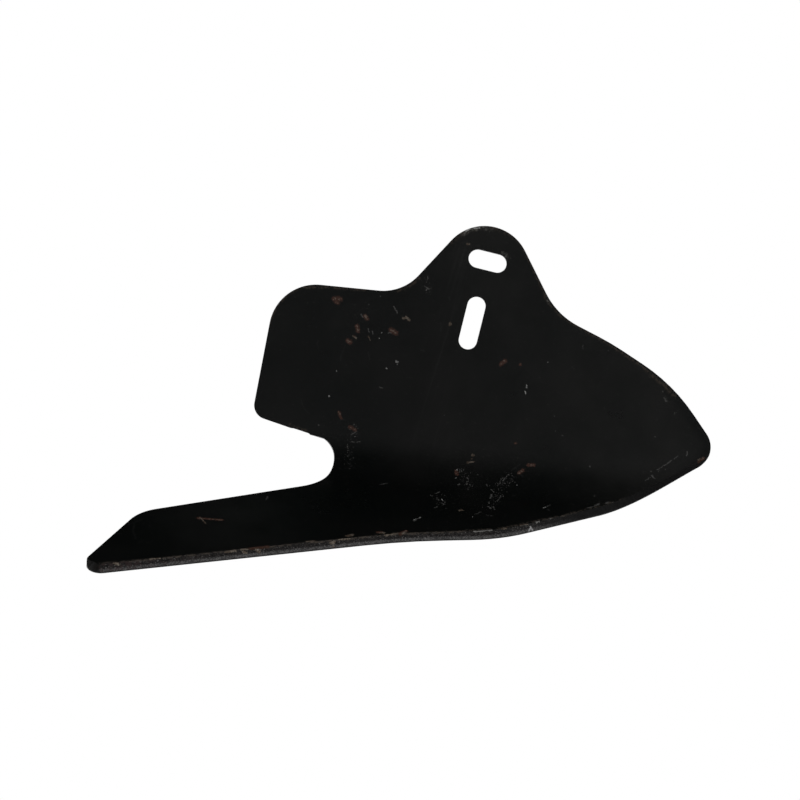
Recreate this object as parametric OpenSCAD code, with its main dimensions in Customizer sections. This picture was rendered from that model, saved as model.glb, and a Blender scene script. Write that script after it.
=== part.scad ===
// Hoeing blade, right hand: one steel plate with a slotted web that bolts to a shank
// and a swept wing folded out of its foot, ground to a cutting edge from nose to tip.
// Units are millimetres. +X points to the nose, +Z up, and the wing folds toward -Y.
// The origin lies on the back face of the web, midway between the two bolt slots.

/* [Plate] */
// Thickness of the plate
thickness = 4; // [3:0.5:5]

/* [Fold] */
// Angle by which the wing is folded out of the web
fold_angle = 63; // [50:1:68]
// Inside radius of the fold
fold_radius = 32; // [28:1:36]
// Distance from the origin down to the start of the fold
fold_drop = 92.8; // [92.4:0.2:93.4]
// Fall of the fold line toward the nose, in degrees
fold_tilt = 6; // [5.5:0.5:7]

/* [Bolt slots] */
// Width of both slots, clearance for the bolt
slot_width = 11; // [8.5:0.5:13]
// Overall length of the upper slot, which lies across
upper_slot_length = 23; // [18:1:26]
// Overall length of the lower slot, which stands upright
lower_slot_length = 32; // [24:1:38]
// Distance between the centres of the slots
slot_spacing = 38; // [34:1:42]
// Lean of the pair of slots toward the nose, in degrees
slot_lean = 14; // [8:1:20]

/* [Cutting edge] */
// Width of the ground bevel, measured across the plate
bevel_width = 3.3; // [2:0.1:4.5]
// Thickness left at the edge below the bevel
edge_land = 0.8; // [0.4:0.1:1.5]
// Rise of the main cutting edge toward the nose, in degrees
edge_rise = 28.6; // [27.6:0.2:29.6]
// Rise of the edge along the arm of the wing, in degrees
arm_rise = 16.9; // [16.3:0.2:17.5]

/* [Outline radii] */
// Rounding of the lobe around the slots
lobe_radius = 27; // [24:1:30]
// Rounding of the nose
nose_radius = 14; // [11:0.5:14.5]
// Rounding at the point of the wing tip
tip_radius = 7.5; // [5:0.5:11]
// Rounding at the back of the wing tip
heel_radius = 28; // [20:1:36]
// Inner radius of the notch behind the web
notch_radius = 13.5; // [10:0.5:13.5]
// Radius easing the notch into the trailing edge
notch_ease = 32; // [26:1:32]

/* [Hidden] */
$fn = 180;

paint = [0.05, 0.05, 0.055];
margin = 2;
reach = 500;
bend_steps = 24;
arc_step = 4;
lap = 0.02;

// Length of plate that goes into the fold, taken at mid thickness
fold_run = (fold_radius + thickness / 2) * fold_angle * PI / 180;

// Vector helpers
function unit(v) = v / norm(v);
function heading(a) = [cos(a), sin(a)];
function meet(p, a, q, b) =
    let (d = heading(a), e = heading(b), s = q - p)
    p + d * ((s.x * e.y - s.y * e.x) / (d.x * e.y - d.y * e.x));

// The flat blank, drawn in the plane of the web before folding.
// Points fixing the straight edges: nose line, arm line and the short step between them.
nose_line = [112.3, -114.3];
arm_line = [-138.7, -206.6];
step_line = [-25, -176];
step_rise = 8;
front_top = [78, -30.4];
front_low = [127, -72.8];
front_fall = -56;
tip_line = [-213.6, -195.6];
tip_slope = 63.4;
trail_line = [-152.5, -147.9];
trail_rise = 23;
notch_wall = -86.8;

// Sharp corners of the blank, clockwise from the lobe, each with its rounding radius
corners = [
    [9.5, 59.2, lobe_radius],                                                // lobe
    [45.8, -13.6, 44],                                                       // hollow in front of the lobe
    [front_top.x, front_top.y, 150],                                         // top of the front edge
    concat(meet(front_top, -33.5, front_low, front_fall), 110),              // belly of the front edge
    concat(meet(front_low, front_fall, nose_line, edge_rise), nose_radius),  // nose
    concat(meet(nose_line, edge_rise, step_line, step_rise), 96),            // foot of the cutting edge
    concat(meet(step_line, step_rise, arm_line, arm_rise), 300),             // start of the arm
    concat(meet(tip_line, tip_slope, arm_line, arm_rise), tip_radius),       // point of the tip
    concat(meet(tip_line, tip_slope, trail_line, trail_rise), heel_radius),  // back of the tip
    concat(meet(trail_line, trail_rise, [notch_wall, 0], 90), notch_ease),   // foot of the notch
    [notch_wall, -86.4, notch_radius],                                       // head of the notch
    [-101.2, -84.9, 0],                                                      // lip over the notch
    [-135.6, -73, 8.5],                                                      // rear foot of the web
    [-120.3, 6.8, 28],                                                       // rear shoulder
    [-46.2, -0.5, 28.6]                                                      // hollow behind the lobe
];
NOSE = 4;
FOOT = 5;
ARM = 6;
TIP = 7;
NOTCH_FOOT = 9;
NOTCH_HEAD = 10;
LIP = 11;
REAR_FOOT = 12;

// Geometry of one rounded corner
function at(i) = let (c = corners[(i + len(corners)) % len(corners)]) [c.x, c.y];
function back_way(i) = unit(at(i - 1) - at(i));
function on_way(i) = unit(at(i + 1) - at(i));
function half_angle(i) = acos(max(-1, min(1, back_way(i) * on_way(i)))) / 2;
function centre_of(i) = at(i) + unit(back_way(i) + on_way(i)) * corners[i].z / sin(half_angle(i));
function side(i) = back_way(i).x * on_way(i).y - back_way(i).y * on_way(i).x > 0 ? 1 : -1;

// Points along the rounding of a corner, from the edge before it to the edge after it
function arc_points(i) =
    corners[i].z == 0 ? [at(i)]
    : let (
        turn = 180 - 2 * half_angle(i),
        steps = ceil(turn / arc_step),
        first = side(i) * [back_way(i).y, -back_way(i).x]
    )
    [
        for (k = [0 : steps])
            let (a = -side(i) * turn * k / steps)
            centre_of(i) + corners[i].z
                * [first.x * cos(a) - first.y * sin(a), first.x * sin(a) + first.y * cos(a)]
    ];

module blank() {
    polygon([for (i = [0 : len(corners) - 1]) each arc_points(i)]);
}

// Fold coordinates of a point of the blank: along the fold, and down past its start
function fold_uv(p) = [
    p.x * cos(fold_tilt) - (p.y + fold_drop) * sin(fold_tilt),
    -p.x * sin(fold_tilt) - (p.y + fold_drop) * cos(fold_tilt)
];

// Where a point of the folded plate ends up: u along the fold, v down the blank from the
// start of the fold, w up from the back face toward the front face
function placed(u, v, w) =
    let (
        a = min(max(v / fold_run, 0), 1) * fold_angle,
        r = fold_radius + thickness - w,
        past = max(v - fold_run, 0),
        down = min(v, 0) + r * sin(a) + past * cos(a),
        y = r * cos(a) - past * sin(a) - fold_radius - thickness
    )
    [
        u * cos(fold_tilt) - down * sin(fold_tilt),
        y,
        -fold_drop - u * sin(fold_tilt) - down * cos(fold_tilt)
    ];

// Plate edges inside the fold, as the distance along the fold at a given depth
rear_line = [
    for (p = concat([at(REAR_FOOT), at(LIP)], arc_points(NOTCH_HEAD), arc_points(NOTCH_FOOT)))
        let (q = fold_uv(p)) [q.y, q.x]
];
lip_uv = fold_uv(at(LIP));
nose_uv = fold_uv(at(NOSE));
edge_uv = fold_uv(at(FOOT));

function rear_edge(v) = lookup(v, rear_line);

function cutting_edge(v) =
    nose_uv.x + (v - nose_uv.y) * (edge_uv.x - nose_uv.x) / (edge_uv.y - nose_uv.y);

// A skin of triangles over a row of rings with the same number of points
module skin(rings) {
    n = len(rings[0]);
    last = len(rings) - 1;
    polyhedron(
        points = [for (ring = rings) each ring],
        faces = concat(
            [[for (j = [0 : n - 1]) j]],
            [
                for (i = [0 : last - 1], j = [0 : n - 1])
                    let (k = (j + 1) % n, a = i * n, b = a + n)
                    each [[a + j, b + j, a + k], [a + k, b + j, b + k]]
            ],
            [[for (j = [n - 1 : -1 : 0]) last * n + j]]
        )
    );
}

// Moves blank drawings, extruded up from the back face, onto the web or past the fold
module onto(angle, run) {
    pivot = fold_radius + thickness;
    rotate([90, 0, 0])
        translate([0, -fold_drop, 0]) rotate([0, 0, -fold_tilt])
            translate([0, 0, pivot]) rotate([-angle, 0, 0]) translate([0, run, -pivot])
                rotate([0, 0, fold_tilt]) translate([0, fold_drop, 0])
                    children();
}

// Half planes of the blank above the fold and below its end, each lapping onto the fold
module above_fold() {
    translate([0, -fold_drop]) rotate(-fold_tilt) translate([-reach, -lap]) square([2 * reach, reach]);
}

module below_fold() {
    translate([0, -fold_drop]) rotate(-fold_tilt)
        translate([-reach, lap - fold_run - reach]) square([2 * reach, reach]);
}

module web() {
    onto(0, 0) linear_extrude(thickness) intersection() {
        blank();
        above_fold();
    }
}

module wing() {
    onto(fold_angle, fold_run) linear_extrude(thickness) intersection() {
        blank();
        below_fold();
    }
}

// Rolled strip of plate between web and wing, trimmed to the notch and the cutting edge
module fold() {
    depths = concat(
        [for (i = [0 : 3]) lip_uv.y * i / 4],
        [for (i = [0 : bend_steps]) lip_uv.y + (fold_run - lip_uv.y) * i / bend_steps]
    );
    half = 160;
    intersection() {
        rotate([90, 0, 0]) translate([0, -fold_drop, 0]) rotate([0, 0, -fold_tilt])
            translate([0, 0, fold_radius + thickness]) rotate([180, 90, 0])
                rotate_extrude(angle = fold_angle)
                    translate([fold_radius, -half]) square([thickness, 2 * half]);
        skin([
            for (v = concat([-1], depths, [fold_run + 1]))
                let (d = min(max(v, 0), fold_run), a = rear_edge(d), b = cutting_edge(d))
                [
                    placed(a, v, -margin), placed(b, v, -margin),
                    placed(b, v, thickness + margin), placed(a, v, thickness + margin)
                ]
        ]);
    }
}

// Stations along the cutting edge: point of the blank, direction into the plate and the
// share of the bevel ground there
function edge_stations() =
    let (
        across = heading(edge_rise + 90),
        nose_from = -20,
        nose_to = edge_rise - 90,
        step_turn = edge_rise - step_rise,
        arm_turn = arm_rise - step_rise,
        tip_from = arm_rise - 90,
        tip_to = -190
    )
    concat(
        [
            for (i = [0 : 8]) let (d = heading(nose_from + (nose_to - nose_from) * i / 8))
                [centre_of(NOSE) + nose_radius * d, -d, min(1, i / 5)]
        ],
        [
            for (i = [0 : bend_steps])
                let (v = fold_run * i / bend_steps, t = (v - nose_uv.y) / (edge_uv.y - nose_uv.y))
                [at(NOSE) + (at(FOOT) - at(NOSE)) * t, across, 1]
        ],
        [
            for (i = [0 : 8]) let (d = heading(nose_to - step_turn * i / 8))
                [centre_of(FOOT) + corners[FOOT].z * d, -d, 1]
        ],
        [
            for (i = [0 : 6]) let (d = heading(step_rise + 90 + arm_turn * i / 6))
                [centre_of(ARM) + corners[ARM].z * d, d, 1]
        ],
        [
            for (i = [0 : 14]) let (d = heading(tip_from + (tip_to - tip_from) * i / 14))
                [centre_of(TIP) + tip_radius * d, -d, min(1, (14 - i) / 5)]
        ]
    );

// Wedge removed by grinding the front face down to the land
module bevel_cut() {
    rise = thickness - edge_land;
    skin([
        for (s = edge_stations())
            [
                for (k = [[1.3, 1.3], [-0.3, -0.3], [-0.3, 1.3]])
                    let (
                        inset = bevel_width * (k.x + s[2] - 1),
                        uv = fold_uv(s[0] + s[1] * inset)
                    )
                    placed(uv.x, uv.y, edge_land + rise * k.y)
            ]
    ]);
}

module slot(length) {
    half = (length - slot_width) / 2;
    translate([-half, 0]) circle(d = slot_width);
    translate([half, 0]) circle(d = slot_width);
    translate([-half, -slot_width / 2]) square([2 * half, slot_width]);
}

module bolt_slots() {
    rotate([90, 0, 0]) rotate([0, 0, -slot_lean]) translate([0, 0, -margin])
        linear_extrude(thickness + 2 * margin) {
            translate([0, slot_spacing / 2]) slot(upper_slot_length);
            translate([0, -slot_spacing / 2]) rotate(90) slot(lower_slot_length);
        }
}

module blade() {
    color(paint) difference() {
        union() {
            web();
            fold();
            wing();
        }
        bolt_slots();
        bevel_cut();
    }
}

blade();
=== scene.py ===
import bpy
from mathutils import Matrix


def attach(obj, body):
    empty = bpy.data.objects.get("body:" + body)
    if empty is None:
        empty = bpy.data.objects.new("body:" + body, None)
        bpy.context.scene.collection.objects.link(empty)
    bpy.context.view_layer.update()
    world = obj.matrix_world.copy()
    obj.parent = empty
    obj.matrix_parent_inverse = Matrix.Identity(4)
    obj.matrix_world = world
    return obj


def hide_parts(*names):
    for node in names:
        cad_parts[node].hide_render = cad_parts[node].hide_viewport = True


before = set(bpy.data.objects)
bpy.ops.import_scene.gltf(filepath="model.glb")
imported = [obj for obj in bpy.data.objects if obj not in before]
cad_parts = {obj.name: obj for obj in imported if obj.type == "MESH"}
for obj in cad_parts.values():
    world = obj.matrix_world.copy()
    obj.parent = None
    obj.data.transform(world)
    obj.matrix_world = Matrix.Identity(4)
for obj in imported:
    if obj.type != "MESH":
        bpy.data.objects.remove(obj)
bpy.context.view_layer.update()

import math
from functools import cached_property

import bmesh
import bpy
from mathutils import Vector
from mathutils.bvhtree import BVHTree

MM = 0.001
scene = bpy.context.scene

# The photo's frame, seen level and square to the web
PX = 0.595 * MM                # one pixel at the web's front face
FRAME_PX = 800                 # pixels across the frame, and down it
MIDDLE_PX = FRAME_PX / 2
ORIGIN_PX = (479.95, 292.0)    # pixel of the part's origin
DISTANCE = 1500 * MM           # from the camera to the web's front face
SENSOR = 36                    # width of the camera's sensor in millimetres

# The plate, as in the part
THICK = 4 * MM
FOLD_R = 32 * MM               # inside radius of the fold
FOLD_ANGLE = math.radians(63)
DROP = 92.8 * MM               # from the origin down to the start of the fold
TILT = math.radians(6)         # lean of the fold's line
# Down the web, square to that line; out of the web's front face; and out of the wing's
DIP = Vector((-math.sin(TILT), 0, -math.cos(TILT)))
TOWARD = Vector((0, -1, 0))
WING_OUT = TOWARD * math.cos(FOLD_ANGLE) - DIP * math.sin(FOLD_ANGLE)

# The blade's mesh
PAINT, BEVEL, ARRIS, CUT = range(4)       # its material slots
WELD = 0.002 * MM                         # points closer than this become one
LEVEL_ANGLE = math.radians(0.3)           # faces that turn less than this are joined
BEVEL_LEAN = (0.3, 0.93)                  # least and most cosine between the bevel and the plate
BACK_EDGE = 0.3 * MM                      # the bevel lies higher than this over the back face
ARRIS_WIDTH = 0.36 * MM
ARRIS_STEPS = 2
ARRIS_ANGLE = math.radians(24)            # edges sharper than this are rounded
PLATE_LEAN = 0.9                          # painted faces with a smaller cosine to the plate are its cut edge
SAME_BEND = math.cos(math.radians(25))    # faces that turn less than this share a smooth normal
TINY_AREA = 1e-12                         # least weight of a face, in square metres


def place_camera():
    """Long lens in front of the web, with the photo's frame on the web's front face."""
    data = bpy.data.cameras.new("camera")
    camera = bpy.data.objects.new("camera", data)
    scene.collection.objects.link(camera)
    camera.location = ((MIDDLE_PX - ORIGIN_PX[0]) * PX, -THICK - DISTANCE, (ORIGIN_PX[1] - MIDDLE_PX) * PX)
    camera.rotation_euler = (math.radians(90), 0, 0)
    data.sensor_width = SENSOR
    data.lens = SENSOR * DISTANCE / (FRAME_PX * PX)
    data.clip_start = 0.01
    data.clip_end = 50
    scene.camera = camera
    return camera


def plate_normal(p):
    """Direction out of the plate's front face near a point, and the point's height over the back face."""
    down = -p.x * math.sin(TILT) - (p.z + DROP) * math.cos(TILT)
    out = -p.y
    if down <= 0:
        return TOWARD.copy(), out
    pivot = FOLD_R + THICK
    turn = math.atan2(down, pivot - out)
    if turn < FOLD_ANGLE and out < pivot:
        return TOWARD * math.cos(turn) - DIP * math.sin(turn), pivot - math.hypot(down, pivot - out)
    height = pivot + (out - pivot) * math.cos(FOLD_ANGLE) - down * math.sin(FOLD_ANGLE)
    return WING_OUT.copy(), height


def sort_faces(mesh):
    """Joins level faces and tells the ground bevel from the rest; gives the tree that rays are cast at."""
    bm = bmesh.new()
    bm.from_mesh(mesh)
    bmesh.ops.remove_doubles(bm, verts=bm.verts, dist=WELD)
    bmesh.ops.dissolve_degenerate(bm, edges=bm.edges, dist=WELD)
    bmesh.ops.dissolve_limit(bm, angle_limit=LEVEL_ANGLE, verts=bm.verts, edges=bm.edges)
    bm.normal_update()
    tree = BVHTree.FromBMesh(bm)
    for face in bm.faces:
        out, height = plate_normal(face.calc_center_median())
        leans = BEVEL_LEAN[0] < face.normal.dot(out) < BEVEL_LEAN[1]
        face.material_index = BEVEL if leans and height > BACK_EDGE else PAINT
        face.smooth = True
    bm.to_mesh(mesh)
    bm.free()
    return tree


def round_edges(piece):
    """The small rounding left along every cut edge, in a material slot of its own."""
    arris = piece.modifiers.new("arris", "BEVEL")
    arris.width = ARRIS_WIDTH
    arris.segments = ARRIS_STEPS
    arris.limit_method = "ANGLE"
    arris.angle_limit = ARRIS_ANGLE
    arris.material = ARRIS
    arris.use_clamp_overlap = True
    bpy.context.view_layer.update()
    rounded = bpy.data.meshes.new_from_object(piece.evaluated_get(bpy.context.evaluated_depsgraph_get()))
    piece.modifiers.clear()
    piece.data = rounded


def plate_sides(bm):
    """Puts the faces through the plate's thickness in the cut edge's slot, and gives the side, 1 for the
    front and -1 for the back, that each other painted face is on."""
    side = {}
    for face in bm.faces:
        if face.material_index != PAINT:
            continue
        cosine = face.normal.dot(plate_normal(face.calc_center_median())[0])
        if abs(cosine) < PLATE_LEAN:
            face.material_index = CUT
        else:
            side[face] = 1 if cosine > 0 else -1
    return side


def face_direction(face, vert, side):
    """Normal at a corner: the plate's own on its two sides, and smooth along the length of a cut edge."""
    if face in side:
        return plate_normal(vert.co)[0] * side[face]
    total = Vector()
    for other in vert.link_faces:
        if other.material_index == face.material_index and other.normal.dot(face.normal) > SAME_BEND:
            total += other.normal * max(other.calc_area(), TINY_AREA)
    return total.normalized()


def arris_direction(face, vert, side):
    """Normal at a corner of the rounding, which turns from one of the faces beside it to the other."""
    beside = [face_direction(other, vert, side) for other in vert.link_faces if other.material_index != ARRIS]
    if beside:
        return max(beside, key=lambda n: n.dot(face.normal))
    total = Vector()
    for corner in vert.link_loops:
        total += corner.face.normal * corner.calc_angle()
    return total.normalized()


def set_normals(mesh):
    """Sets every corner's normal, and keeps each point's height over the back face for the bevel's colour."""
    bm = bmesh.new()
    bm.from_mesh(mesh)
    bm.normal_update()
    side = plate_sides(bm)
    height = mesh.attributes.new("over_back", "FLOAT", "POINT")
    height.data.foreach_set("value", [plate_normal(v.co)[1] for v in bm.verts])
    normals = []
    for face in bm.faces:
        direction = arris_direction if face.material_index == ARRIS else face_direction
        normals += [tuple(direction(face, corner.vert, side)) for corner in face.loops]
    slots = [face.material_index for face in bm.faces]
    bm.free()
    mesh.polygons.foreach_set("material_index", slots)
    mesh.polygons.foreach_set("use_smooth", [True] * len(slots))
    mesh.normals_split_custom_set(normals)
    mesh.update()


cam = place_camera()
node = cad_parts["blade"]
blade = bpy.data.objects.new("blade_painted", node.data.copy())
scene.collection.objects.link(blade)
blade.matrix_world = node.matrix_world.copy()
hits = sort_faces(blade.data)
for _ in (PAINT, BEVEL, ARRIS, CUT):
    blade.data.materials.append(None)
round_edges(blade)
set_normals(blade.data)


def on_blade(x, y):
    """Point of the blade under a pixel of the frame; just off its outline, the nearest point of it."""
    way = Vector(((x - MIDDLE_PX) * PX, DISTANCE, (MIDDLE_PX - y) * PX)).normalized()
    hit = hits.ray_cast(cam.location, way)[0]
    if hit is None:
        hit = hits.find_nearest(cam.location + way * (DISTANCE / way.y))[0]
    return hit


def chain(points, half_width):
    """Marks joined end to end."""
    return [(a, b, half_width) for a, b in zip(points, points[1:])]


# Marks on the front face: pixel where each starts, pixel where it ends, half width in pixels.
# First the rust spots
RUST = [
    ((334, 299), (340, 299), 1.7), ((336, 302), (338, 303), 1.3), ((365, 316), (367, 319), 1.3),
    ((357, 326), (358, 331), 1.4), ((354, 336), (355, 337), 0.9), ((348, 341), (350, 342), 1.6),
    ((391, 330), (396, 333), 1.7), ((501, 364), (505, 361), 1.4), ((520, 364), (521, 365), 0.9),
    ((198, 518), (222, 520), 1.1), ((350, 427), (355, 430), 1.2), ((339, 412), (341, 418), 1.0),
    ((528, 465), (534, 465), 1.1), ((519, 473), (523, 470), 1.2), ((515, 443), (516, 444), 0.8),
    ((456, 471), (457, 474), 1.2), ((699, 461.6), (703.5, 458.6), 1.2), ((250, 548.5), (268, 546.5), 1.1),
    ((377, 532.5), (382, 532), 0.8), ((400, 534), (406, 531), 1.2),
]
# Tan spots of dirt and old rust
TAN = [
    ((459.5, 510.5), (462, 510), 1.4), ((472, 455), (473.5, 455.5), 1.1),
    ((467.5, 462.5), (473.5, 462), 0.9), ((471.5, 458.5), (472, 459), 0.7), ((406, 317), (409, 320), 1.2),
    ((403, 318), (406, 318), 1.0), ((450, 323), (450, 325), 1.2), ((353, 336), (356, 338), 0.8),
    ((467, 244), (469, 244), 0.9), ((368, 336), (370, 340), 0.5), ((200, 517), (206, 524), 0.7),
    ((307, 541.5), (315, 541), 1.2), ((347, 536), (352, 535), 1.7), ((339, 539.5), (350, 538.5), 0.7),
    ((380, 533), (384, 533), 1.3), ((385, 535), (392, 534), 0.9), ((393, 533.5), (398, 533), 1.0),
    ((402, 533), (406, 532), 1.1), ((331, 543), (334, 542), 1.6), ((333, 546), (334, 547), 1.0),
    ((257, 550), (259, 551.5), 1.6), ((241, 549.5), (247, 549), 1.0), ((243, 552), (246, 552.5), 1.1),
    ((225, 552), (236, 550.5), 0.9), ((502, 528.5), (506, 528), 1.1), ((520, 525), (527, 524), 0.8),
    ((698, 460), (699.5, 459), 0.7), ((702, 457.5), (703, 457), 0.6), ((150, 559), (160, 558), 0.8),
    ((114, 563), (118, 564), 1.4),
]
# Chips down to bright steel
CHIP = [
    ((396, 361.5), (398, 362), 1.0), ((397, 364), (397.5, 364.4), 0.6), ((329, 396), (329, 396.6), 1.0),
    ((336.5, 370.5), (336.7, 371), 0.7), ((386, 368), (387, 369), 0.8), ((526.5, 385), (527, 388), 0.8),
    ((525, 391), (525.6, 394), 0.6), ((548, 362), (548.4, 362.4), 0.6), ((379, 338), (379.3, 338.3), 0.6),
    ((381.5, 332.5), (382, 333), 0.6), ((529.2, 531), (530.5, 526.5), 0.8),
    ((530.5, 526.5), (532.5, 531), 0.8), ((457, 469.5), (457.2, 470), 0.9),
    ((455.6, 478), (456, 478.4), 0.7), ((470, 485), (470.4, 485.4), 0.7),
    ((472.3, 516.6), (472.8, 517), 0.7), ((516.6, 485), (517, 485.2), 0.5), ((543.5, 508), (546, 507), 0.7),
    ((441.5, 499), (443, 501), 0.5), ((466, 231), (470, 229), 0.9), ((474, 228.3), (480, 227.6), 0.8),
    ((414, 520), (415.5, 519), 0.6), ((419, 518), (420.5, 517), 0.5), ((257.6, 549.5), (258, 550), 0.7),
]
# Bright rubs on the upper border of the bevel, seen on the paint and on the bevel
BORDER_RUBS = [
    ((483, 530.5), (492, 530), 1.0), ((536, 522), (539, 521.4), 0.9), ((549.6, 518.6), (550.6, 518.2), 1.1),
    ((595, 505.6), (599, 504), 0.9), ((606.4, 503), (608.4, 502.6), 1.0),
]
BRIGHT = BORDER_RUBS + [((474, 531.5), (482, 531), 0.9)]
# Scratches in the paint
SCRATCH = BORDER_RUBS + [
    ((393.5, 306.5), (397.5, 313), 0.6), ((361, 314), (363, 317), 0.6), ((368, 328), (369, 332), 0.5),
    ((372, 331), (373, 334), 0.45), ((645, 481), (650, 477.5), 0.4), ((657, 470), (668, 463), 0.45),
    ((668, 463), (671.5, 460.4), 0.55), ((674, 459), (677.5, 456), 0.45), ((658, 471.5), (660, 470), 0.4),
    ((664.6, 469), (665.2, 469.2), 0.6), ((687.5, 451.5), (686.5, 456), 0.6),
    ((652, 475.6), (654.6, 478.4), 0.6), ((664, 398), (666, 401), 0.6), ((380, 484.5), (387, 483), 0.5),
    ((266, 500), (267.5, 496.5), 0.5), ((388, 333), (391, 333), 0.6), ((583, 345), (583, 349), 0.4),
    ((651, 471), (651.4, 471.4), 0.8), ((651.6, 475), (652, 475.4), 0.9), ((459.5, 469), (459.8, 472), 0.4),
    ((461.5, 468.5), (461.8, 471.5), 0.4), ((463.5, 469), (463.6, 471), 0.35),
    ((458, 484.8), (459.5, 484.3), 0.7), ((466.7, 481.5), (467, 482), 0.6),
    ((468.3, 479.6), (468.8, 480), 0.6), ((468, 476), (468.5, 475.5), 0.6),
    ((470, 473.3), (470.5, 473), 0.5), ((477.3, 475), (477.8, 475.3), 0.5),
    ((486.6, 484.5), (487, 486), 0.5), ((489.7, 485), (490, 486), 0.5), ((498.6, 483.5), (497.4, 486), 0.4),
    ((501, 479), (499.6, 484), 0.4), ((503.6, 479.5), (502, 485.5), 0.4), ((507, 475.5), (504, 479.5), 0.5),
    ((510, 482), (508.6, 486), 0.4), ((514.6, 482), (515, 482.4), 0.5), ((506.6, 491.6), (507, 492), 0.5),
    ((501, 495.5), (497.5, 501), 0.6), ((490.8, 489), (494, 492.5), 0.5),
    ((491.8, 494.5), (490, 498.5), 0.8), ((489.2, 502), (489.4, 503.6), 0.7),
    ((488.2, 506.5), (491, 508.5), 0.9), ((493.2, 506.5), (495, 510), 0.6), ((486, 515), (493.5, 516), 0.4),
    ((475, 514.4), (481, 511.6), 0.4), ((430, 495), (432.4, 496), 0.5), ((435.6, 493.4), (439.6, 492), 0.6),
    ((436.4, 498), (439, 500), 0.6), ((444.6, 495), (445, 495.4), 0.5), ((441.6, 503), (445, 504.4), 0.5),
    ((434.6, 507.8), (437.6, 506.6), 0.6), ((445.6, 508), (446, 508.6), 0.6), ((414, 521), (421, 517), 0.5),
    ((546, 507), (550, 505), 0.5), ((547, 509), (549, 510), 0.4), ((352, 434), (357, 431), 0.6),
    ((352, 442), (360, 442), 0.4), ((380, 387), (382, 388), 0.6), ((654.6, 436.8), (655, 437), 0.8),
    ((608, 350.5), (609, 350.7), 0.6), ((318.5, 424.5), (319, 425), 0.7), ((444, 415), (444.4, 415.3), 0.7),
    ((554, 416), (555, 416.4), 0.7), ((562, 435), (563, 436), 0.8), ((555, 431), (555.6, 431.4), 0.7),
    ((368, 304), (369, 304.4), 0.6), ((380, 296), (381, 296.4), 0.7), ((478.3, 341), (478.8, 341.4), 0.6),
    ((594, 496), (594.4, 496.4), 0.7), ((474, 531.5), (482, 531), 0.8), ((587, 508), (594, 506.5), 0.6),
    ((612, 503), (613.6, 502.6), 0.7), ((589.6, 466), (590, 466.4), 0.8), ((424.6, 286), (428.6, 289), 0.5),
    ((428, 276), (428, 279), 0.5),
]
# Faint lines and smudges
FAINT = chain([(345, 346), (343, 351), (341, 356), (340.5, 361)], 0.5) \
    + chain([(301, 400), (303, 406), (306, 411), (310, 414)], 0.5) \
    + chain([(318, 340), (317, 345), (319, 350)], 0.5) \
    + chain([(368, 352), (369, 357), (370, 360)], 0.5) \
    + chain([(134, 524), (133, 531), (136, 539)], 0.6) \
    + [((441, 322), (441, 331), 0.5), ((451, 365), (451, 372), 0.4), ((449, 297), (450, 300), 0.9),
       ((138, 543), (144, 540), 0.5), ((146, 543), (153, 541), 0.5), ((128, 525), (143, 519), 0.5),
       ((618, 394), (619, 396), 0.8), ((572, 367), (574, 369), 1.1), ((437, 364), (438, 365), 1.0),
       ((421, 350), (424, 351), 1.0), ((515, 467), (523, 477), 0.7), ((512, 470), (520, 464), 0.6)]
# Places scattered with fine pale specks, which also paint glints
SPECKLED = chain([(353, 428), (353, 437), (350, 446), (350, 456), (350, 464)], 6) \
    + chain([(456, 468), (464, 477), (470, 486)], 6) \
    + [((498, 488), (510, 476), 7), ((437, 494), (442, 504), 6), ((488, 508), (499, 494), 6),
       ((424, 282), (430, 290), 5), ((503, 253), (509, 257), 5)]
# Spots worn down to bright metal
PALE = chain([(463, 234), (470, 229.5), (480, 227.5), (491, 229)], 2.6) \
    + [((503, 254), (508, 257.5), 2.6), ((547.5, 299), (548.6, 303), 1.6),
       ((639.5, 364.5), (641.5, 366), 1.1), ((662, 391), (663, 392), 0.9), ((665, 397), (667, 400.5), 0.9),
       ((674.4, 414), (675.4, 411.6), 1.0), ((677.6, 409.8), (678, 410.2), 1.0),
       ((673, 406.4), (673.4, 406.8), 0.7), ((648.6, 376.6), (649.4, 377.2), 1.1)]
# Paint rubbed thin along the outline, lighter brown there, which also paints the highlight that the edges
# catch
RUBBED_AND_HIGHLIT_OUTLINE = chain([(452, 241), (459, 235), (468, 229.5), (480, 227), (497, 226), (507, 230)], 3.4) \
    + chain([(507, 230), (520, 243), (530, 262), (539, 282), (547, 301), (560, 316), (580, 328)], 1.7) \
    + chain([(580, 328), (610, 345), (640, 365), (664, 386)], 1.9) \
    + chain([(263, 322), (272, 304), (284, 292), (300, 287), (330, 287.5), (365, 290)], 1.8) \
    + chain([(398, 291), (410, 286), (420, 278)], 1.6) \
    + [((290, 425), (306, 431), 2.0), ((664, 384), (674, 396), 3.0)]
# Upper border of the ground bevel, where the paint is chipped ragged
BORDER = chain([(100, 563), (150, 559), (200, 554), (260, 547.5), (320, 541.5), (400, 533.5), (450, 532),
                (500, 528.5), (560, 516), (600, 505.5), (625, 499)], 1.5)
# Front edge at the nose, where the film of dust and its painted sheen run out
NOSE_EDGE = chain([(668, 388), (688, 412), (702, 433), (709, 448), (700, 461), (686, 470)], 9)
# Stretch of the web that long rub lines cross, their lean, and how their noise is scaled along X, Y
# and their own length
RUB_ZONE = [((458, 255), (428, 445), 26)]
RUB_LEAN = math.radians(17)
RUB_DRAWN_OUT = (1, 1, 0.035)
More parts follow.
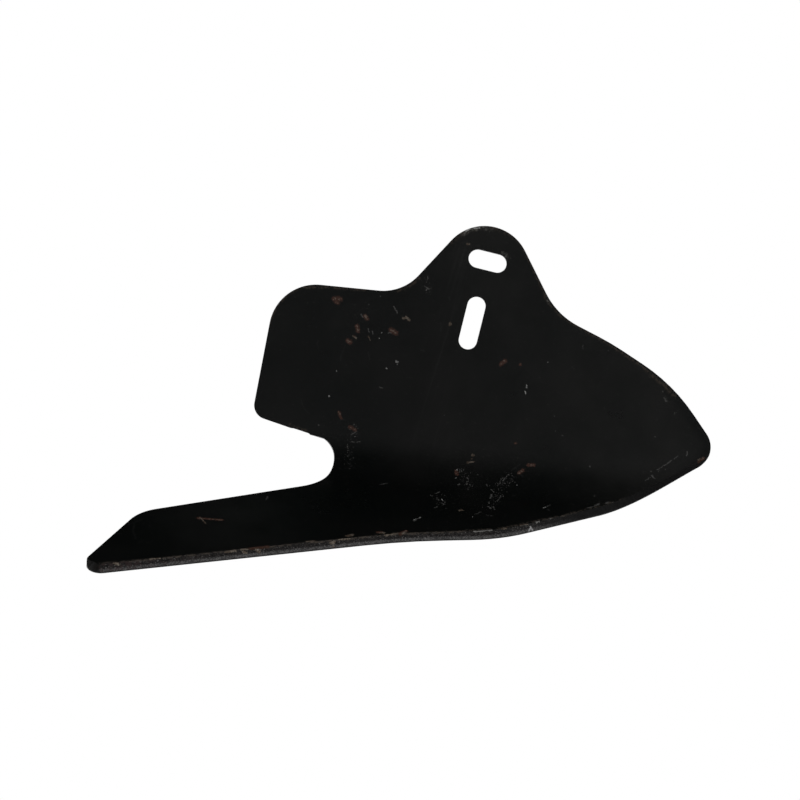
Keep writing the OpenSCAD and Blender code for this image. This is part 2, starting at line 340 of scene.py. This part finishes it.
# Film of dust over the paint, which also paints the sheen that the paint shows in patches: pixel, reach in
# pixels, what it adds to the base colour, and its tint
COOL, WARM = 0, 1
FILM_AND_SHEEN = [
    ((487, 236), 115, 0.0054, WARM), ((650, 415), 200, 0.0050, WARM), ((470, 430), 95, 0.0020, WARM),
    ((474, 497), 34, 0.0016, WARM), ((508, 321), 13, 0.0026, WARM), ((335, 323), 10, 0.0022, WARM),
    ((240, 515), 125, 0.0036, COOL), ((520, 330), 120, 0.0012, COOL), ((300, 300), 90, 0.0009, COOL),
]
POINT_LIKE = 0.9 * MM    # a shorter mark is a round spot
# How far noise shakes a mark's outline, and the noises for that and for its fray: scale, detail, roughness
SHAKE = 1.7 * MM
SHAKE_NOISE = (750, 2, 0.6)
GRAIN_NOISE = (1500, 2, 0.6)
# Places of a mix node's sockets that are for colours, and of its result
MIX_SHARE, MIX_UNDER, MIX_OVER, MIX_RESULT = 0, 6, 7, 2


class Nodes:
    """Makes and joins the nodes of a tree. A value is a socket, which is linked, or a constant."""

    def __init__(self, tree):
        self.tree = tree
        tree.nodes.clear()

    def new(self, kind, **props):
        made = self.tree.nodes.new(kind)
        for name, value in props.items():
            setattr(made, name, value)
        return made

    def put(self, socket, value):
        if isinstance(value, bpy.types.NodeSocket):
            self.tree.links.new(value, socket)
        else:
            socket.default_value = value

    def math(self, op, *values):
        made = self.new("ShaderNodeMath", operation=op)
        for socket, value in zip(made.inputs, values):
            self.put(socket, value)
        return made.outputs[0]

    def times(self, a, b):
        return self.math("MULTIPLY", a, b)

    def plus(self, a, b):
        return self.math("ADD", a, b)

    def most(self, a, b):
        return self.math("MAXIMUM", a, b)

    def least(self, a, b):
        return self.math("MINIMUM", a, b)

    def split(self, vector):
        made = self.new("ShaderNodeSeparateXYZ")
        self.put(made.inputs[0], vector)
        return made.outputs

    def ramp(self, value, start, end, low=0.0, high=1.0):
        """Runs smoothly from low to high as the value goes from start to end, and stays there."""
        made = self.new("ShaderNodeMapRange", interpolation_type="SMOOTHSTEP")
        sockets = ("Value", "From Min", "From Max", "To Min", "To Max")
        for name, given in zip(sockets, (value, start, end, low, high)):
            self.put(made.inputs[name], given)
        return made.outputs["Result"]


class Material(Nodes):
    """A principled material whose colours and marks are placed in the blade's own space."""

    def __init__(self, name):
        self.mat = bpy.data.materials.new(name)
        self.mat.use_nodes = True
        super().__init__(self.mat.node_tree)
        out = self.new("ShaderNodeOutputMaterial")
        self.bsdf = self.new("ShaderNodeBsdfPrincipled")
        self.put(out.inputs["Surface"], self.bsdf.outputs[0])
        self.pos = self.new("ShaderNodeTexCoord").outputs["Object"]

    def vec(self, op, *values, scale=1.0):
        made = self.new("ShaderNodeVectorMath", operation=op)
        for socket, value in zip(made.inputs, values):
            self.put(socket, value)
        if op == "SCALE":
            self.put(made.inputs["Scale"], scale)
        return made.outputs["Value" if op in ("DOT_PRODUCT", "DISTANCE") else "Vector"]

    def noise(self, scale, detail, rough, vector=None, out="Fac", distortion=0.0):
        """Noise from about 0 to 1; scale is how many times it changes in a metre."""
        made = self.new("ShaderNodeTexNoise")
        self.put(made.inputs["Vector"], vector or self.pos)
        made.inputs["Scale"].default_value = scale
        made.inputs["Detail"].default_value = detail
        made.inputs["Roughness"].default_value = rough
        made.inputs["Distortion"].default_value = distortion
        return made.outputs[out]

    def mix(self, share, under, over):
        """Colour that goes from under to over with the share."""
        made = self.new("ShaderNodeMix", data_type="RGBA")
        self.put(made.inputs[MIX_SHARE], share)
        for place, colour in ((MIX_UNDER, under), (MIX_OVER, over)):
            plain = not isinstance(colour, bpy.types.NodeSocket)
            self.put(made.inputs[place], (*colour, 1.0) if plain else colour)
        return made.outputs[MIX_RESULT]

    def surface(self, colour, roughness, relief, depth, strength):
        """Joins the finished colour, roughness and relief, whose height is depth, to the shader."""
        bump = self.new("ShaderNodeBump")
        self.put(bump.inputs["Height"], relief)
        bump.inputs["Distance"].default_value = depth
        bump.inputs["Strength"].default_value = strength
        self.put(self.bsdf.inputs["Base Color"], colour)
        self.put(self.bsdf.inputs["Roughness"], roughness)
        self.put(self.bsdf.inputs["Normal"], bump.outputs[0])
        return self.mat

    @cached_property
    def shaken(self):
        """The place, shaken by noise so that marks get ragged outlines."""
        shake = self.vec("SUBTRACT", self.noise(*SHAKE_NOISE, out="Color"), (0.5, 0.5, 0.5))
        return self.vec("MULTIPLY_ADD", shake, (SHAKE,) * 3, self.pos)

    @cached_property
    def grain(self):
        return self.noise(*GRAIN_NOISE)

    def nearness(self, marks, place):
        """Least distance from the place to any of the marks, in half widths of that mark."""
        nearest = None
        for start, end, half_width in marks:
            a, b = on_blade(*start), on_blade(*end)
            if (b - a).length < POINT_LIKE:
                far = self.vec("DISTANCE", place, tuple((a + b) / 2))
            else:
                along = b - a
                offset = self.vec("SUBTRACT", place, tuple(a))
                share = self.vec("DOT_PRODUCT", offset, tuple(along / along.length_squared))
                share = self.most(self.least(share, 1.0), 0.0)
                far = self.vec("DISTANCE", offset, self.vec("SCALE", tuple(along), scale=share))
            far = self.times(far, 1 / (half_width * PX))
            nearest = far if nearest is None else self.least(nearest, far)
        return nearest

    def frayed(self, marks, fray):
        """Nearness to the marks, with ragged outlines."""
        return self.plus(self.nearness(marks, self.shaken), self.times(self.plus(self.grain, -0.5), fray * 2))

    def mask(self, marks, fray=0.6, edge=1.15, full=0.6):
        """1 on the marks and 0 off them, turning between the nearness at the edge and where it is full."""
        return self.ramp(self.frayed(marks, fray), edge, full)


# Linear colours of the painted faces; a pair goes from its first to its second colour with a noise
BLACK = (0.0010, 0.0017, 0.0015), (0.0018, 0.0020, 0.0018)
# Tints of the dust film, which also carries a painted sheen
DUST_AND_SHEEN_TINT = (0.88, 1.0, 0.93), (1.0, 0.96, 0.90)
DUST_SPECK = (0.022, 0.021, 0.020)
# Specks where the surface is scuffed, lighter in part as painted glints
PALE_SPECK_AND_GLINT = (0.022, 0.022, 0.021), (0.100, 0.096, 0.092)
RUB_LINE = (0.016, 0.016, 0.0155)
# Thin paint along the outline, lighter so as to paint the edges' highlight as well
THIN_PAINT_AND_HIGHLIGHT = (0.042, 0.032, 0.024)
BARE_SPOT = (0.030, 0.031, 0.028), (0.105, 0.104, 0.096)
BORDER_CHIP = (0.045, 0.038, 0.032)
FAINT_LINE = (0.018, 0.0185, 0.018)
SCRATCH_LINE = (0.066, 0.065, 0.063)
RUST_HALO = (0.040, 0.0095, 0.0022)
RUST_CORE = (0.110, 0.080, 0.062)
TAN_SPOT = (0.060, 0.042, 0.030), (0.120, 0.100, 0.080)
CHIP_SPOT = (0.17, 0.17, 0.168), (0.36, 0.36, 0.35)
# Noises of the painted faces: how often they change in a metre, detail and roughness
CLOUD_NOISE = (16, 4, 0.55)
PATCH_NOISE = (70, 4, 0.6)
SPARK_NOISE = (1150, 1, 0.5)
SPARSE_NOISE = (560, 2, 0.5)
LINE_NOISE = (300, 3, 0.6)
BROKEN_NOISE = (560, 4, 0.65)
PAINT_RELIEF = (260, 2, 0.5)
# Least and most roughness of clean paint, and what wear adds
PAINT_ROUGH = 0.27, 0.34
WORN_ROUGH = 0.3


def dust_film_and_sheen(t, patch):
    """What the film of dust and its painted sheen add to the paint: cool and warm pools, patchy, and none at
    the nose's edge.
    """
    pools = [0.0, 0.0]
    for pixel, reach, amount, tint in FILM_AND_SHEEN:
        far = t.vec("DISTANCE", t.pos, tuple(on_blade(*pixel)))
        pools[tint] = t.plus(t.ramp(far, reach * PX, 0.0, 0.0, amount), pools[tint])
    cool, warm = (t.vec("MULTIPLY", pool, tint) for pool, tint in zip(pools, DUST_AND_SHEEN_TINT))
    patchy = t.times(t.ramp(patch, 0.25, 0.75, 0.72, 1.28), t.ramp(t.nearness(NOSE_EDGE, t.pos), 0.15, 1.0))
    return t.vec("MULTIPLY", t.vec("ADD", cool, warm), patchy)


def specks(t, base, spark, sparse):
    """Fine pale specks of dust, and where the surface is scuffed denser pale specks that also paint glints;
    gives the colour and those glints.
    """
    base = t.mix(t.times(t.ramp(sparse, 0.66, 0.74), 0.4), base, DUST_SPECK)
    scuffed = t.ramp(t.nearness(SPECKLED, t.pos), 1.3, 0.2)
    glint = t.ramp(t.plus(spark, t.times(scuffed, 0.07)), 0.685, 0.75)
    glint = t.times(glint, t.least(t.times(scuffed, 3.0), 1.0))
    return t.mix(glint, base, t.mix(t.ramp(sparse, 0.4, 0.62), *PALE_SPECK_AND_GLINT)), glint


def rub_lines(t, base):
    """Long faint rub lines: a noise drawn out along the lean of the slots."""
    lean = t.new("ShaderNodeMapping", vector_type="TEXTURE")
    t.put(lean.inputs["Vector"], t.pos)
    lean.inputs["Rotation"].default_value = (0, RUB_LEAN, 0)
    lines = t.noise(*LINE_NOISE, vector=t.vec("MULTIPLY", lean.outputs[0], RUB_DRAWN_OUT))
    rub = t.times(t.ramp(lines, 0.50, 0.70), t.ramp(t.nearness(RUB_ZONE, t.pos), 1.0, 0.1))
    return t.mix(t.times(rub, 0.45), base, RUB_LINE)


def worn_outline(t, base, spark, sparse):
    """Paint rubbed thin along the outline with a painted highlight there, worn to pale spots, and chipped
    ragged along the bevel's border.
    """
    broken = t.ramp(t.noise(*BROKEN_NOISE), 0.40, 0.60)
    base = t.mix(t.times(t.mask(RUBBED_AND_HIGHLIT_OUTLINE, fray=0.9, edge=1.3, full=0.0), broken), base, THIN_PAINT_AND_HIGHLIGHT)
    pale = t.times(t.mask(PALE, fray=1.2, edge=1.35, full=0.4), t.ramp(spark, 0.40, 0.60))
    base = t.mix(pale, base, t.mix(t.ramp(sparse, 0.42, 0.60), *BARE_SPOT))
    ragged = t.times(t.mask(BORDER, fray=1.1, edge=1.2, full=0.5), t.ramp(broken, 0.3, 0.7))
    return t.mix(ragged, base, BORDER_CHIP)


def paint_marks(t, base, spark, sparse):
    """Faint lines, scratches, rust, tan spots and chips; gives the colour and where the gloss is gone."""
    base = t.mix(t.times(t.mask(FAINT, fray=0.5), 0.55), base, FAINT_LINE)
    scratch = t.mask(SCRATCH, fray=0.35, edge=1.3, full=0.5)
    base = t.mix(scratch, base, SCRATCH_LINE)
    rust = t.frayed(RUST, fray=1.1)
    halo = t.ramp(rust, 2.0, 0.9)
    base = t.mix(halo, base, RUST_HALO)
    base = t.mix(t.ramp(t.plus(rust, t.times(spark, 4.0)), 2.45, 1.95), base, RUST_CORE)
    tan = t.mask(TAN, fray=1.1, edge=1.25, full=0.7)
    base = t.mix(tan, base, t.mix(t.ramp(sparse, 0.4, 0.6), *TAN_SPOT))
    chip = t.mask(CHIP, fray=0.7)
    base = t.mix(chip, base, t.mix(t.ramp(sparse, 0.40, 0.58), *CHIP_SPOT))
    return base, t.most(t.most(halo, chip), scratch)


def painted(name):
    """Satin black paint with a light film of dust that also paints sheen, pale specks that also paint glints,
    a painted highlight along the outline where the paint is rubbed thin, small rust spots, chips and
    scratches.
    """
    t = Material(name)
    cloud = t.noise(*CLOUD_NOISE)
    patch = t.noise(*PATCH_NOISE)
    spark = t.noise(*SPARK_NOISE, distortion=0.5)
    sparse = t.noise(*SPARSE_NOISE)
    base = t.mix(t.ramp(cloud, 0.32, 0.68), *BLACK)
    base = t.vec("ADD", base, dust_film_and_sheen(t, patch))
    base, glint = specks(t, base, spark, sparse)
    base = rub_lines(t, base)
    base = worn_outline(t, base, spark, sparse)
    base, worn = paint_marks(t, base, spark, sparse)
    satin = t.ramp(t.plus(t.times(cloud, 0.7), t.times(patch, 0.3)), 0.3, 0.7, *PAINT_ROUGH)
    rough = t.plus(satin, t.times(t.most(worn, glint), WORN_ROUGH))
    return t.surface(base, rough, t.noise(*PAINT_RELIEF), 0.03 * MM, 0.4)


# Linear colours of the ground bevel; a pair goes from its first to its second colour with the pits
BEVEL_DULL = (0.0016, 0.0018, 0.0018), (0.0062, 0.0060, 0.0062)
BEVEL_RUBBED = (0.0058, 0.0054, 0.0052), (0.036, 0.033, 0.032)
# Lightest band low on the bevel: a painted highlight along its lower edge
BEVEL_LOW_HIGHLIGHT = (0.050, 0.049, 0.049), (0.165, 0.161, 0.160)
# Pale specks of grit, lighter in part as painted glints
BEVEL_GRIT_AND_GLINT = (0.200, 0.195, 0.190)
BEVEL_RED = (0.050, 0.030, 0.029)
BEVEL_BORDER = (0.070, 0.058, 0.048)
BEVEL_RUST = (0.050, 0.020, 0.011)
BEVEL_TAN = (0.085, 0.064, 0.048), (0.220, 0.190, 0.155)
BEVEL_BRIGHT = (0.210, 0.205, 0.195)
BEVEL_CHIP = (0.42, 0.42, 0.42)
BEVEL_TIP = (0.0045, 0.0050, 0.0045)
# Its noises, and its least and most roughness
GRIT_NOISE = (1250, 3, 0.6)
COARSE_NOISE = (260, 4, 0.6)
RED_NOISE = (420, 3, 0.55)
BEVEL_ROUGH = 0.5, 0.68
# Where along the blade the bevel turns rubbed, ragged, red, and dark at the very tip
RUBBED_FROM, RUBBED_FULL = 60 * MM, 10 * MM
RAGGED_FROM, RAGGED_FULL = 100 * MM, 20 * MM
RED_FROM, RED_FULL = -135 * MM, -220 * MM
TIP_FROM, TIP_FULL = -210.5 * MM, -212.7 * MM
# Height over the back face below which the bevel is lightest, as a painted highlight along its lower edge,
# and how far that line wavers
LOW_FROM, LOW_FULL, LOW_WAVER = 2.8 * MM, 1.9 * MM, 0.9 * MM


def ground_steel(t, along, grit, coarse, pits):
    """The bevel's colour: dull toward the nose, rubbed back along the wing, lightest low on it as a painted
    highlight along its lower edge, with pale grit specks that also paint glints.
    """
    height = t.new("ShaderNodeAttribute", attribute_name="over_back").outputs["Fac"]
    wing = t.ramp(along, RUBBED_FROM, RUBBED_FULL)
    # low: the bevel's lightest band, a painted highlight along its lower edge
    low = t.times(t.ramp(t.plus(height, t.times(coarse, LOW_WAVER)), LOW_FROM, LOW_FULL), wing)
    base = t.mix(wing, t.mix(pits, *BEVEL_DULL), t.mix(pits, *BEVEL_RUBBED))
    base = t.mix(t.times(low, 0.9), base, t.mix(pits, *BEVEL_LOW_HIGHLIGHT))
    base = t.mix(t.times(t.ramp(grit, 0.62, 0.68), t.times(wing, 0.8)), base, BEVEL_GRIT_AND_GLINT)
    red = t.times(t.ramp(along, RED_FROM, RED_FULL), t.ramp(t.noise(*RED_NOISE), 0.42, 0.6))
    return t.mix(t.times(red, 0.6), base, BEVEL_RED)


def ground_bevel():
    """Bevel left rough by grinding, painted over thinly, with the marks that run onto it."""
    t = Material("ground_bevel")
    grit = t.noise(*GRIT_NOISE)
    coarse = t.noise(*COARSE_NOISE)
    pits = t.ramp(t.plus(t.times(grit, 0.7), t.times(coarse, 0.3)), 0.41, 0.60)
    along = t.split(t.pos)[0]
    base = ground_steel(t, along, grit, coarse, pits)
    ragged = t.times(t.ramp(coarse, 0.42, 0.58), t.ramp(along, RAGGED_FROM, RAGGED_FULL))
    base = t.mix(t.times(t.mask(BORDER, fray=1.1, edge=1.1, full=0.4), ragged), base, BEVEL_BORDER)
    base = t.mix(t.times(t.mask(RUST, fray=0.9, edge=2.0, full=0.9), 0.8), base, BEVEL_RUST)
    base = t.mix(t.mask(TAN, fray=1.1, edge=1.25, full=0.7), base, t.mix(pits, *BEVEL_TAN))
    base = t.mix(t.mask(BRIGHT, fray=0.6, edge=1.3, full=0.5), base, BEVEL_BRIGHT)
    base = t.mix(t.mask(CHIP, fray=0.7), base, BEVEL_CHIP)
    base = t.mix(t.ramp(along, TIP_FROM, TIP_FULL, 0.0, 0.9), base, BEVEL_TIP)
    t.bsdf.inputs["Specular IOR Level"].default_value = 0.1
    rough = t.ramp(coarse, 0.3, 0.7, *BEVEL_ROUGH)
    return t.surface(base, rough, t.plus(t.times(grit, 0.5), coarse), 0.22 * MM, 0.6)


# Linear colours, noises and roughness of the rounded edges; the colours are rubbed paint lightened into a
# painted highlight, and painted glints
# Rubbed paint on the edges, lighter as a painted highlight
ARRIS_WEAR_AND_HIGHLIGHT = (0.0055, 0.0048, 0.0044), (0.050, 0.036, 0.027)
ARRIS_GLINT = (0.110, 0.092, 0.078)
ARRIS_NOISE = (240, 4, 0.65)
GLINT_NOISE = (1100, 2, 0.6)
ARRIS_ROUGH = 0.36, 0.55


def worn_highlit_arris():
    """Rounded edges, where the paint is rubbed off in places and lightened brown as a painted highlight, with
    painted glints.
    """
    t = Material("worn_highlit_arris")
    rub = t.noise(*ARRIS_NOISE)
    base = t.mix(t.ramp(rub, 0.42, 0.60), *ARRIS_WEAR_AND_HIGHLIGHT)
    base = t.mix(t.ramp(t.noise(*GLINT_NOISE), 0.60, 0.68), base, ARRIS_GLINT)
    return t.surface(base, t.ramp(rub, 0.3, 0.7, *ARRIS_ROUGH), rub, 0.08 * MM, 0.5)


# Linear colours, noises and roughness of the plate's cut edge
CUT_COLOUR = (0.0024, 0.0023, 0.0022), (0.0065, 0.0058, 0.0053)
CUT_RIDGE = (0.030, 0.023, 0.018)
RIDGE_NOISE = (850, 3, 0.6)
CUT_NOISE = (60, 4, 0.6)
CUT_ROUGH = 0.36, 0.5
# How much of the ridge noise's fineness is left along a ridge, and the Y between which the ridges turn
# from straight across the web to straight across the wing
DRAWN_OUT = 0.04
WEB_END, WING_START = -4 * MM, -20 * MM


def cut_edge():
    """Thickness of the plate: paint over the fine ridges of the cut, which run straight across it."""
    t = Material("cut_edge")
    on_web = t.vec("MULTIPLY", t.pos, (1, DRAWN_OUT, 1))
    across = t.vec("DOT_PRODUCT", t.pos, tuple(WING_OUT))
    on_wing = t.vec("SUBTRACT", t.pos, t.vec("MULTIPLY", across, tuple(WING_OUT * (1 - DRAWN_OUT))))
    place = t.mix(t.ramp(t.split(t.pos)[1], WEB_END, WING_START), on_web, on_wing)
    ridges = t.noise(*RIDGE_NOISE, vector=place)
    cloud = t.noise(*CUT_NOISE)
    base = t.mix(t.ramp(cloud, 0.35, 0.65), *CUT_COLOUR)
    base = t.mix(t.ramp(t.plus(ridges, t.times(cloud, 0.5)), 0.86, 0.98), base, CUT_RIDGE)
    return t.surface(base, t.ramp(cloud, 0.3, 0.7, *CUT_ROUGH), ridges, 0.12 * MM, 0.6)


for slot, material in enumerate((painted("black_paint"), ground_bevel(), worn_highlit_arris(), cut_edge())):
    blade.data.materials[slot] = material
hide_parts("blade")
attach(blade, "root")

# White floor, well below the blade: how far it reaches, in metres, its colour and its roughness
FLOOR_SIDE, FLOOR_FRONT, FLOOR_REAR, FLOOR_LEVEL = 1.6, -1.3, 0.62, -0.42
FLOOR_WHITE = (0.86, 0.86, 0.86, 1)
FLOOR_ROUGH = 0.8
# Strengths of the studio's light, seen from the blade
WALL_BEHIND_CAMERA = 0.14
CEILING = 0.008
SIDE_WALLS = 1.75
FROM_BELOW = 0.8
# Where each part starts and where it is full, as the ray's share up, to the side, down and back
CEILING_RISE = (0.12, 0.77)
WALL_TURN = (0.44, 0.66)
BELOW_DROP = (-0.25, -0.5)
BACKDROP_EDGE = (0.84, 0.95)


def make_floor():
    """One white plane."""
    corners = [(-FLOOR_SIDE, FLOOR_FRONT), (FLOOR_SIDE, FLOOR_FRONT), (FLOOR_SIDE, FLOOR_REAR),
               (-FLOOR_SIDE, FLOOR_REAR)]
    mesh = bpy.data.meshes.new("floor")
    mesh.from_pydata([(x, y, FLOOR_LEVEL) for x, y in corners], [], [(0, 1, 2, 3)])
    t = Material("floor_white")
    t.bsdf.inputs["Base Color"].default_value = FLOOR_WHITE
    t.bsdf.inputs["Roughness"].default_value = FLOOR_ROUGH
    mesh.materials.append(t.mat)
    made = bpy.data.objects.new("floor", mesh)
    scene.collection.objects.link(made)
    return made


def light_studio():
    """A studio of two wide side walls of light, with a dim wall behind the camera and a dark ceiling
    between them. Camera and transmission rays see plain white, and so do glossy rays that leave
    toward the backdrop behind the object, which fades out 18 to 33 degrees off straight back."""
    world = bpy.data.worlds.new("studio")
    scene.world = world
    world.use_nodes = True
    w = Nodes(world.node_tree)
    x, y, z = w.split(w.new("ShaderNodeTexCoord").outputs["Generated"])
    middle = w.ramp(z, *CEILING_RISE, WALL_BEHIND_CAMERA, CEILING)
    walls = w.ramp(w.math("ABSOLUTE", x), *WALL_TURN, 0.0, SIDE_WALLS)
    below = w.ramp(z, *BELOW_DROP, 0.0, FROM_BELOW)
    ray = w.new("ShaderNodeLightPath").outputs
    mirrored = w.times(ray["Is Glossy Ray"], w.ramp(y, *BACKDROP_EDGE))
    sees_white = w.most(w.most(ray["Is Camera Ray"], ray["Is Transmission Ray"]), mirrored)
    studio = w.new("ShaderNodeBackground")
    white = w.new("ShaderNodeBackground")
    w.put(studio.inputs["Strength"], w.plus(w.most(middle, walls), below))
    white.inputs["Strength"].default_value = 1.0
    white.inputs["Color"].default_value = (1, 1, 1, 1)
    mixer = w.new("ShaderNodeMixShader")
    for socket, value in zip(mixer.inputs, (sees_white, studio.outputs[0], white.outputs[0])):
        w.put(socket, value)
    w.put(w.new("ShaderNodeOutputWorld").inputs["Surface"], mixer.outputs[0])


floor = make_floor()
light_studio()
scene.view_settings.view_transform = "Standard"

bpy.context.view_layer.update()
